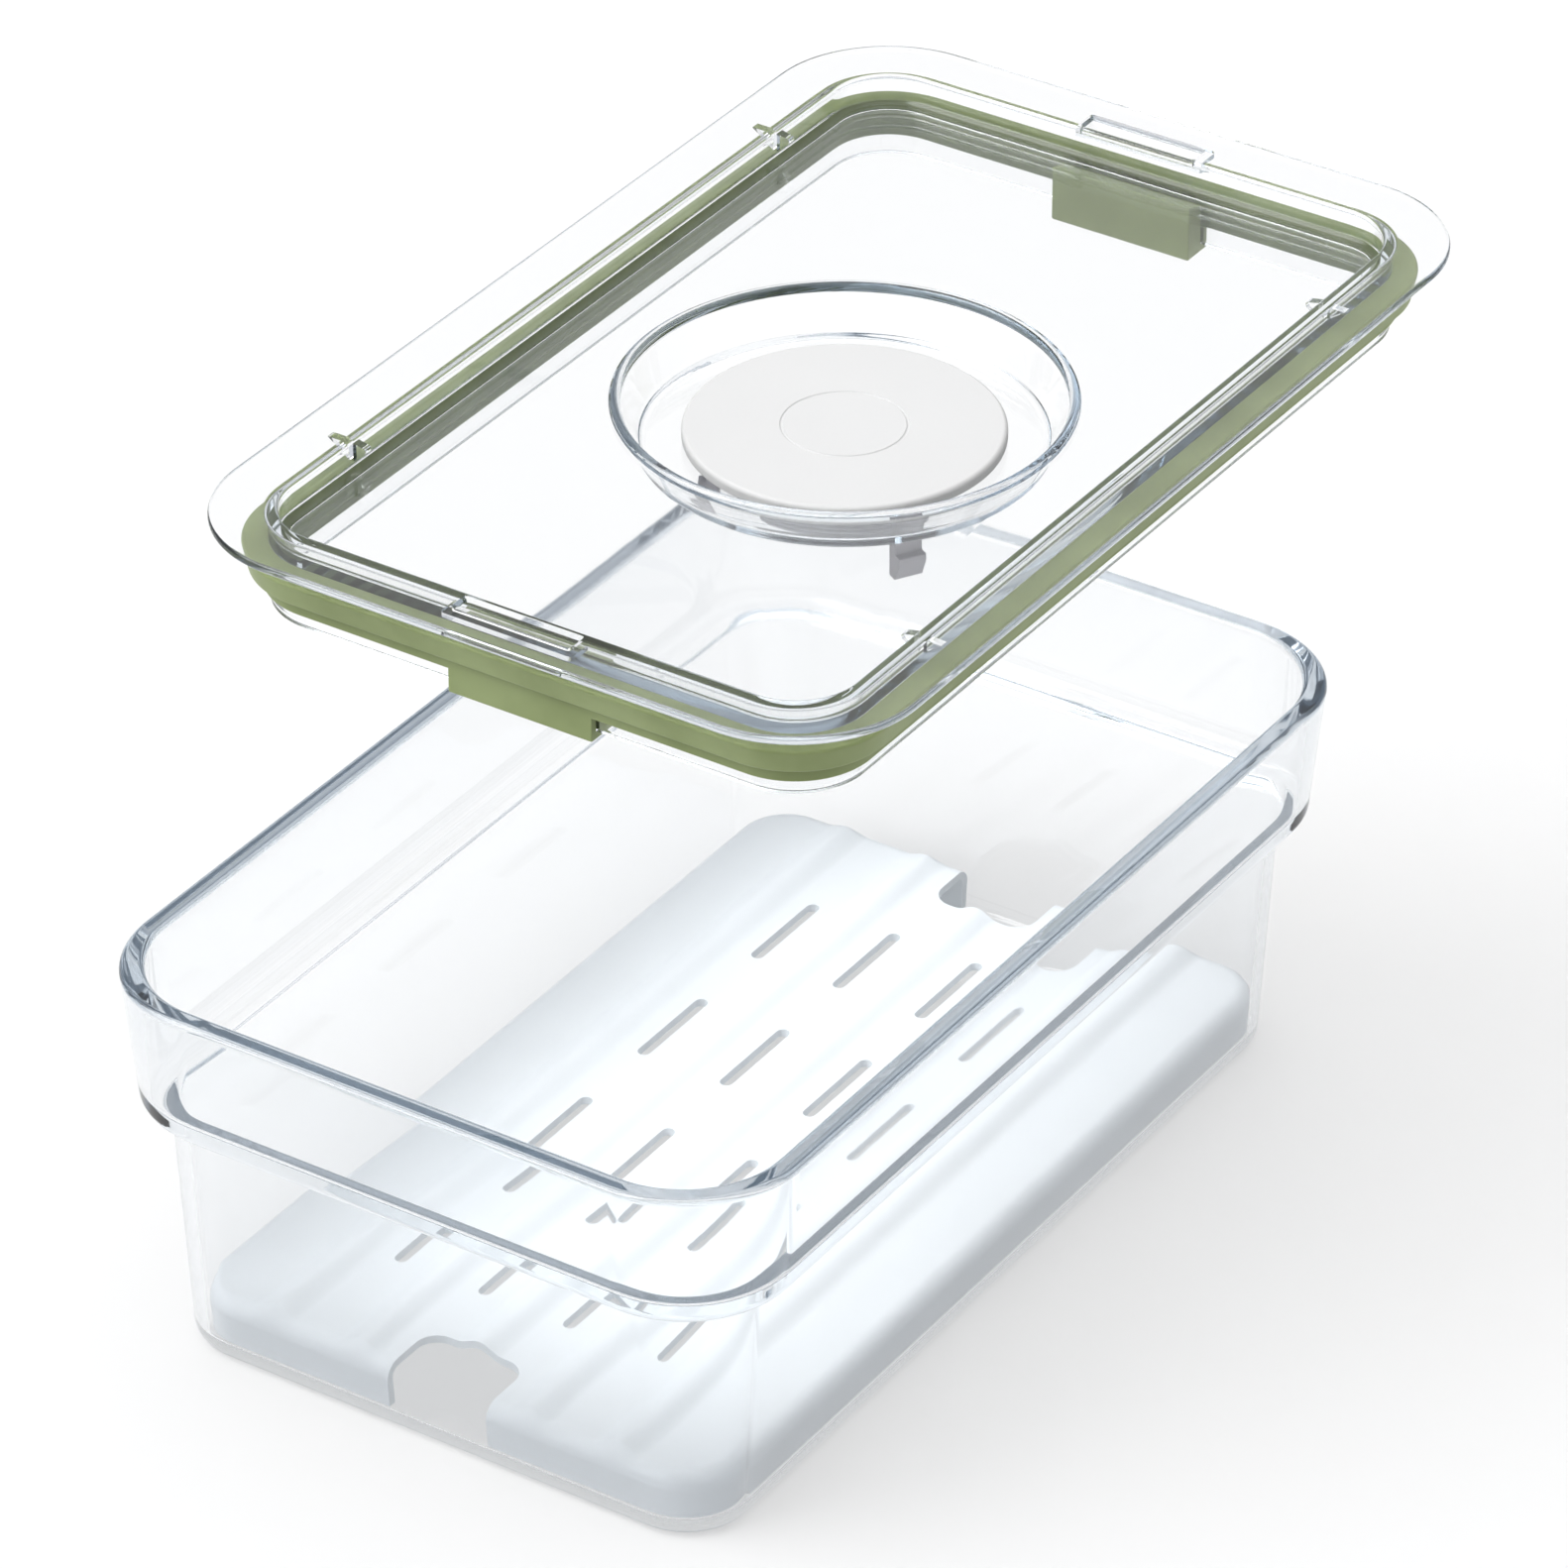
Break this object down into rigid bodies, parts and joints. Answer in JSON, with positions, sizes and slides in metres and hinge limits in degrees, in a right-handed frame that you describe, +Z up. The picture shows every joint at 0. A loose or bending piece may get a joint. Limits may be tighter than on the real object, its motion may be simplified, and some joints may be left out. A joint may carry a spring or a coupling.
{
  "type": "fridge bin",
  "caption": "Clear rectangular fridge bin with a stepped collar, a ridged drain tray, and a gasketed lid with a round pull-up vent.",
  "frame": {"origin": "middle of the bin's flat underside", "axes": "+Z up, +Y along the bin's length, +X across its width; at rest the lid hangs above the bin, set aside towards +X and +Y"},
  "size_m": [0.1426, 0.2116, 0.1595],
  "materials": {
    "clear_bin": "clear injection-moulded plastic, polished",
    "clear_lid": "clear injection-moulded plastic, polished",
    "tray_plastic": "milky translucent moulded plastic",
    "green_rubber": "matte moulded silicone rubber, olive green",
    "cap_plastic": "matte off-white moulded plastic",
    "stem_plastic": "pale grey translucent moulded plastic",
    "seal_rubber": "pale grey moulded silicone rubber"
  },
  "bodies": {
    "bin": {"bin": "clear_bin"},
    "tray": {"drain_tray": "tray_plastic"},
    "lid": {"lid": "clear_lid", "gasket": "green_rubber"},
    "vent": {"vent_cap": "cap_plastic", "vent_stem": "stem_plastic", "vent_seal": "seal_rubber"}
  },
  "joints": [
    {"name": "tray_lift", "type": "slide", "parent": "bin", "child": "tray", "axis": [0, 0, 1], "range_m": [0, 0.03]},
    {"name": "lid_lift", "type": "slide", "parent": "bin", "child": "lid", "axis": [0.1702, 0.1119, 0.979], "range_m": [-0.0858, 0]},
    {"name": "vent_pull", "type": "slide", "parent": "lid", "child": "vent", "axis": [0, 0, 1], "range_m": [0, 0.0085]}
  ]
}
